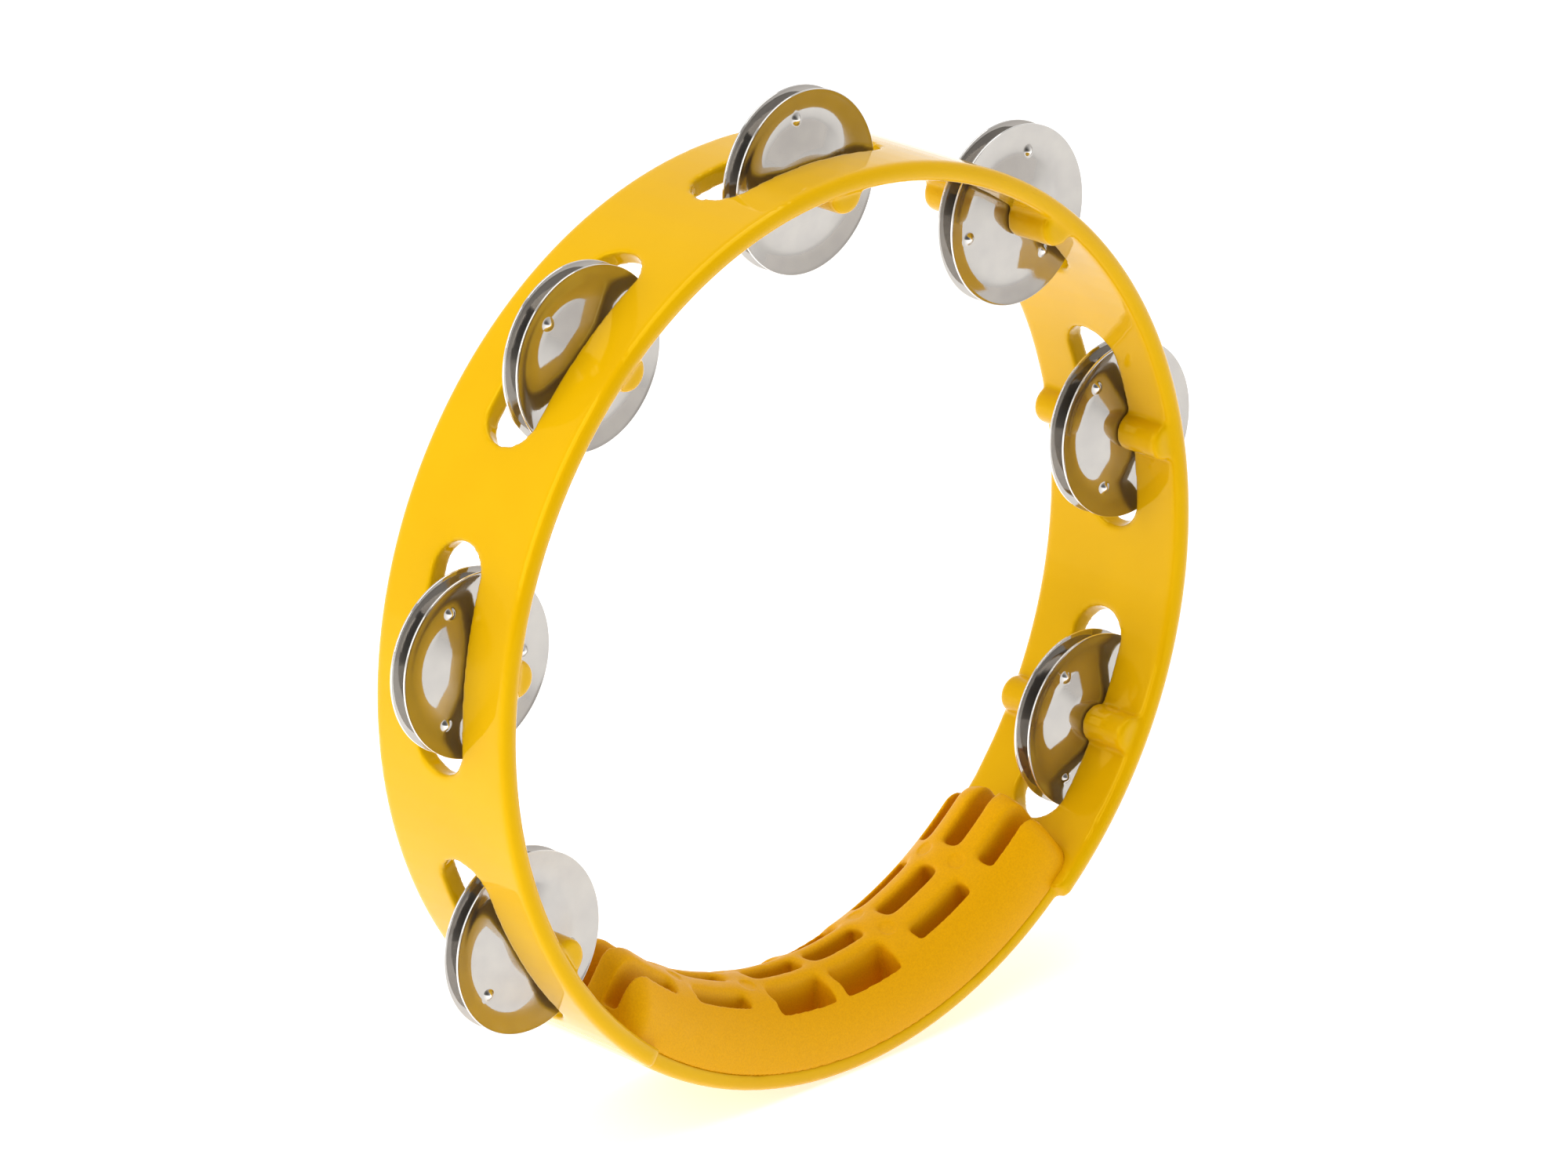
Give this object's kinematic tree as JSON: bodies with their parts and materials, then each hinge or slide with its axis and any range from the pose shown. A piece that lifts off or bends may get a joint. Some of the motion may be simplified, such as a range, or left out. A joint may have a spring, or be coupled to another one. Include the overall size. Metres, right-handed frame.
{
  "type": "tambourine",
  "caption": "Headless hand tambourine: moulded ring with slots, loose paired metal jingles on pins, and a half-round hand grip inside its lowest part.",
  "frame": {"origin": "the middle of the hand grip's section, half way between the band's outer face and the grip's crest, at the ring's mid-plane", "axes": "+Y along the ring's axis from the front rim face to the back one, +Z from the grip towards the ring's centre and the top jingle, +X to the right seen from the front"},
  "size_m": [0.2308, 0.04, 0.2185],
  "materials": {
    "band_plastic": "glossy moulded yellow plastic",
    "grip_plastic": "satin, finely spark-textured yellow plastic",
    "jingle_plate": "bright nickel-plated pressed steel",
    "pin_steel": "plain drawn steel rod"
  },
  "bodies": {
    "frame": {"frame": "band_plastic", "grip": "grip_plastic"},
    "pin_1": {"pin_1": "pin_steel"},
    "jingle_1_front": {"jingle_1_front": "jingle_plate"},
    "jingle_1_back": {"jingle_1_back": "jingle_plate"},
    "pin_2": {"pin_2": "pin_steel"},
    "jingle_2_front": {"jingle_2_front": "jingle_plate"},
    "jingle_2_back": {"jingle_2_back": "jingle_plate"},
    "pin_3": {"pin_3": "pin_steel"},
    "jingle_3_front": {"jingle_3_front": "jingle_plate"},
    "jingle_3_back": {"jingle_3_back": "jingle_plate"},
    "pin_4": {"pin_4": "pin_steel"},
    "jingle_4_front": {"jingle_4_front": "jingle_plate"},
    "jingle_4_back": {"jingle_4_back": "jingle_plate"},
    "pin_5": {"pin_5": "pin_steel"},
    "jingle_5_front": {"jingle_5_front": "jingle_plate"},
    "jingle_5_back": {"jingle_5_back": "jingle_plate"},
    "pin_6": {"pin_6": "pin_steel"},
    "jingle_6_front": {"jingle_6_front": "jingle_plate"},
    "jingle_6_back": {"jingle_6_back": "jingle_plate"},
    "pin_7": {"pin_7": "pin_steel"},
    "jingle_7_front": {"jingle_7_front": "jingle_plate"},
    "jingle_7_back": {"jingle_7_back": "jingle_plate"}
  },
  "joints": [
    {"name": "pin_1_spin", "type": "hinge", "parent": "frame", "child": "pin_1", "pos_m": [-0.084, 0, 0.04247], "axis": [0, 1, 0], "continuous": true},
    {"name": "jingle_1_front_slide", "type": "slide", "parent": "pin_1", "child": "jingle_1_front", "axis": [0, 1, 0], "range_m": [0, 0.0055]},
    {"name": "jingle_1_back_slide", "type": "slide", "parent": "jingle_1_front", "child": "jingle_1_back", "axis": [0, 1, 0], "range_m": [-0.0001, 0.0019]},
    {"name": "pin_2_spin", "type": "hinge", "parent": "frame", "child": "pin_2", "pos_m": [-0.09553, 0, 0.10782], "axis": [0, 1, 0], "continuous": true},
    {"name": "jingle_2_front_slide", "type": "slide", "parent": "pin_2", "child": "jingle_2_front", "axis": [0, 1, 0], "range_m": [0, 0.0055]},
    {"name": "jingle_2_back_slide", "type": "slide", "parent": "jingle_2_front", "child": "jingle_2_back", "axis": [0, 1, 0], "range_m": [-0.0001, 0.0019]},
    {"name": "pin_3_spin", "type": "hinge", "parent": "frame", "child": "pin_3", "pos_m": [-0.06235, 0, 0.16528], "axis": [0, 1, 0], "continuous": true},
    {"name": "jingle_3_front_slide", "type": "slide", "parent": "pin_3", "child": "jingle_3_front", "axis": [0, 1, 0], "range_m": [0, 0.0055]},
    {"name": "jingle_3_back_slide", "type": "slide", "parent": "jingle_3_front", "child": "jingle_3_back", "axis": [0, 1, 0], "range_m": [-0.0001, 0.0019]},
    {"name": "pin_4_spin", "type": "hinge", "parent": "frame", "child": "pin_4", "pos_m": [0, 0, 0.18798], "axis": [0, 1, 0], "continuous": true},
    {"name": "jingle_4_front_slide", "type": "slide", "parent": "pin_4", "child": "jingle_4_front", "axis": [0, 1, 0], "range_m": [0, 0.0055]},
    {"name": "jingle_4_back_slide", "type": "slide", "parent": "jingle_4_front", "child": "jingle_4_back", "axis": [0, 1, 0], "range_m": [-0.0001, 0.0019]},
    {"name": "pin_5_spin", "type": "hinge", "parent": "frame", "child": "pin_5", "pos_m": [0.06235, 0, 0.16528], "axis": [0, 1, 0], "continuous": true},
    {"name": "jingle_5_front_slide", "type": "slide", "parent": "pin_5", "child": "jingle_5_front", "axis": [0, 1, 0], "range_m": [0, 0.0055]},
    {"name": "jingle_5_back_slide", "type": "slide", "parent": "jingle_5_front", "child": "jingle_5_back", "axis": [0, 1, 0], "range_m": [-0.0001, 0.0019]},
    {"name": "pin_6_spin", "type": "hinge", "parent": "frame", "child": "pin_6", "pos_m": [0.09553, 0, 0.10782], "axis": [0, 1, 0], "continuous": true},
    {"name": "jingle_6_front_slide", "type": "slide", "parent": "pin_6", "child": "jingle_6_front", "axis": [0, 1, 0], "range_m": [0, 0.0055]},
    {"name": "jingle_6_back_slide", "type": "slide", "parent": "jingle_6_front", "child": "jingle_6_back", "axis": [0, 1, 0], "range_m": [-0.0001, 0.0019]},
    {"name": "pin_7_spin", "type": "hinge", "parent": "frame", "child": "pin_7", "pos_m": [0.084, 0, 0.04247], "axis": [0, 1, 0], "continuous": true},
    {"name": "jingle_7_front_slide", "type": "slide", "parent": "pin_7", "child": "jingle_7_front", "axis": [0, 1, 0], "range_m": [0, 0.0055]},
    {"name": "jingle_7_back_slide", "type": "slide", "parent": "jingle_7_front", "child": "jingle_7_back", "axis": [0, 1, 0], "range_m": [-0.0001, 0.0019]}
  ]
}
